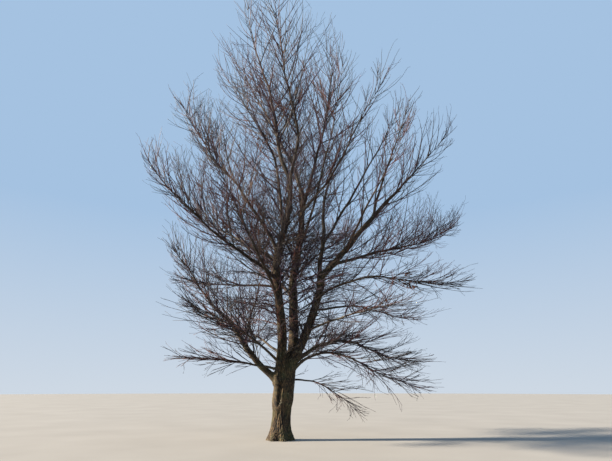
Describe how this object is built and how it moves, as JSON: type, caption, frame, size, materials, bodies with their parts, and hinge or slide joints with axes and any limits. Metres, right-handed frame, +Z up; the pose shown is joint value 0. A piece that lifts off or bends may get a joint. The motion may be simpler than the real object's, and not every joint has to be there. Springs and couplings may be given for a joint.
{
  "type": "bare winter tree on three stems",
  "caption": "Leafless broad-crowned winter tree with a short fluted trunk that divides low into three stems, with tapering boughs and masses of fine twigs.",
  "frame": {"origin": "centre of the flat cut under the trunk, at ground level", "axes": "+Z up the tree, +X to the right of the pictured side, +Y away from the viewer of that side"},
  "size_m": [7.6399, 7.1174, 11.7629],
  "materials": {
    "trunk_bark": "rough fluted bark, dark grey-brown, olive where lit, with some green algae",
    "stem_bark": "rough bark, grey-brown",
    "bough_bark": "finely cracked bark, warm grey-brown",
    "twigs": "smooth thin bark, reddish purple-brown"
  },
  "bodies": {
    "root": {"trunk": "trunk_bark", "stem_left": "stem_bark", "stem_middle": "stem_bark", "stem_right": "stem_bark", "right_fork": "bough_bark", "low_left_limb": "bough_bark", "left_sweep": "bough_bark", "left_mid": "bough_bark", "left_fork": "bough_bark", "left_upper": "bough_bark", "left_leader": "bough_bark", "centre_leader": "bough_bark", "middle_leader_left": "bough_bark", "middle_leader_right": "bough_bark", "middle_right": "bough_bark", "right_fork_leader": "bough_bark", "right_fork_outer": "bough_bark", "right_main": "bough_bark", "right_sweep": "bough_bark", "right_level_upper": "bough_bark", "right_arch_upper": "bough_bark", "right_arch_lower": "bough_bark", "front_mid": "bough_bark", "front_high": "bough_bark", "back_left_mid": "bough_bark", "back_right_mid": "bough_bark", "back_high": "bough_bark", "low_left_limb_twigs": "twigs", "low_left_upright_twigs": "twigs", "low_left_level_twigs": "twigs", "left_level_twigs": "twigs", "left_sweep_twigs": "twigs", "left_mid_twigs": "twigs", "left_fork_twigs": "twigs", "left_upper_twigs": "twigs", "left_leader_twigs": "twigs", "centre_leader_twigs": "twigs", "middle_leader_left_twigs": "twigs", "middle_leader_right_twigs": "twigs", "middle_right_twigs": "twigs", "right_fork_leader_twigs": "twigs", "right_fork_outer_twigs": "twigs", "right_main_twigs": "twigs", "right_main_upright_twigs": "twigs", "right_sweep_twigs": "twigs", "right_level_upper_twigs": "twigs", "right_level_lower_twigs": "twigs", "right_arch_upper_twigs": "twigs", "right_arch_lower_twigs": "twigs", "right_droop_twigs": "twigs", "front_left_low_twigs": "twigs", "front_right_low_twigs": "twigs", "front_mid_twigs": "twigs", "front_right_mid_twigs": "twigs", "front_high_twigs": "twigs", "back_left_low_twigs": "twigs", "back_right_low_twigs": "twigs", "back_left_mid_twigs": "twigs", "back_right_mid_twigs": "twigs", "back_high_twigs": "twigs"}
  },
  "joints": []
}
